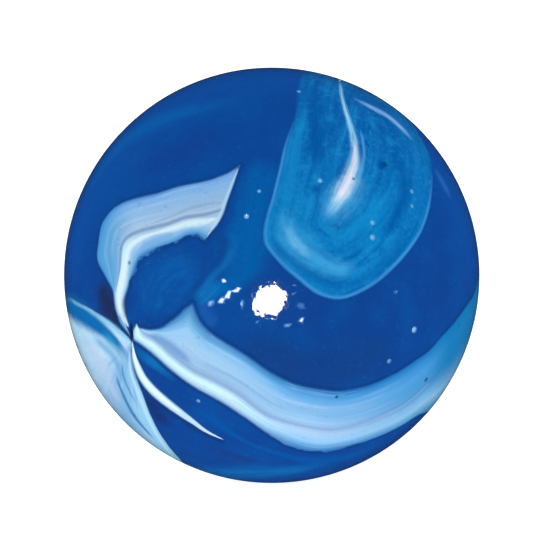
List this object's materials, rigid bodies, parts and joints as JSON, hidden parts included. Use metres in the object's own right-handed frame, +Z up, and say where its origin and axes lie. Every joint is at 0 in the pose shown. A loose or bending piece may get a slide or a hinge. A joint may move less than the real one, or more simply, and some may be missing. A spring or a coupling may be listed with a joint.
{
  "type": "glass marble",
  "caption": "Solid glass playing marble: a polished cobalt ball with white and turquoise swirls, shear creases and small open bubbles.",
  "frame": {"origin": "centre of the ball", "axes": "+Z up; the face with the widest swirls looks towards -Y and 55 degrees above the horizon, with +X to its right"},
  "size_m": [0.016, 0.016, 0.016],
  "materials": {
    "swirled_glass": "polished"
  },
  "bodies": {
    "root": {"marble": "swirled_glass"}
  },
  "joints": []
}
